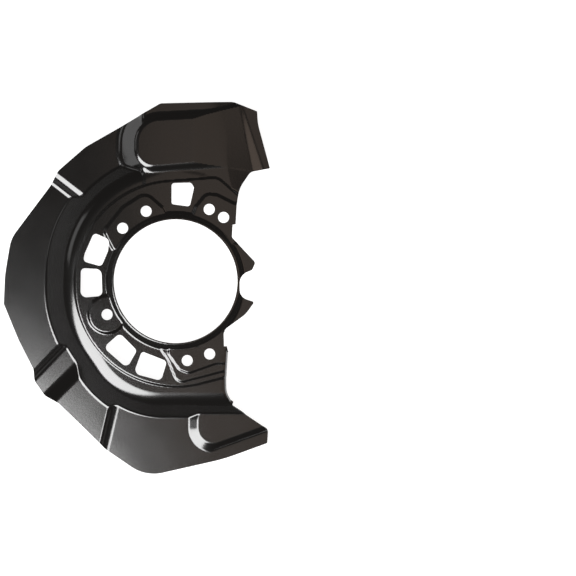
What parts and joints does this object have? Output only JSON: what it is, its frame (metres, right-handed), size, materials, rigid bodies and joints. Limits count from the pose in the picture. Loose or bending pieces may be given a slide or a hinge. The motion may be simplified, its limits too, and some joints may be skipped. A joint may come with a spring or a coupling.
{
  "type": "brake dust shield",
  "caption": "Left-hand front brake dust shield: one pressed black steel sheet with a round hub bore, bolting pads, ventilation windows, a dished ring and stepped outer panels, open on the caliper side.",
  "frame": {"origin": "on the axis of the hub bore, on the underside of the rim round it", "axes": "+Z along the bore away from the side that is bolted down, +Y to the top of the shield, +X to the caliper opening"},
  "size_m": [0.2667, 0.3714, 0.0304],
  "materials": {
    "black_paint": "semi-gloss black dip coat over steel"
  },
  "bodies": {
    "root": {"dust_shield": "black_paint"}
  },
  "joints": []
}
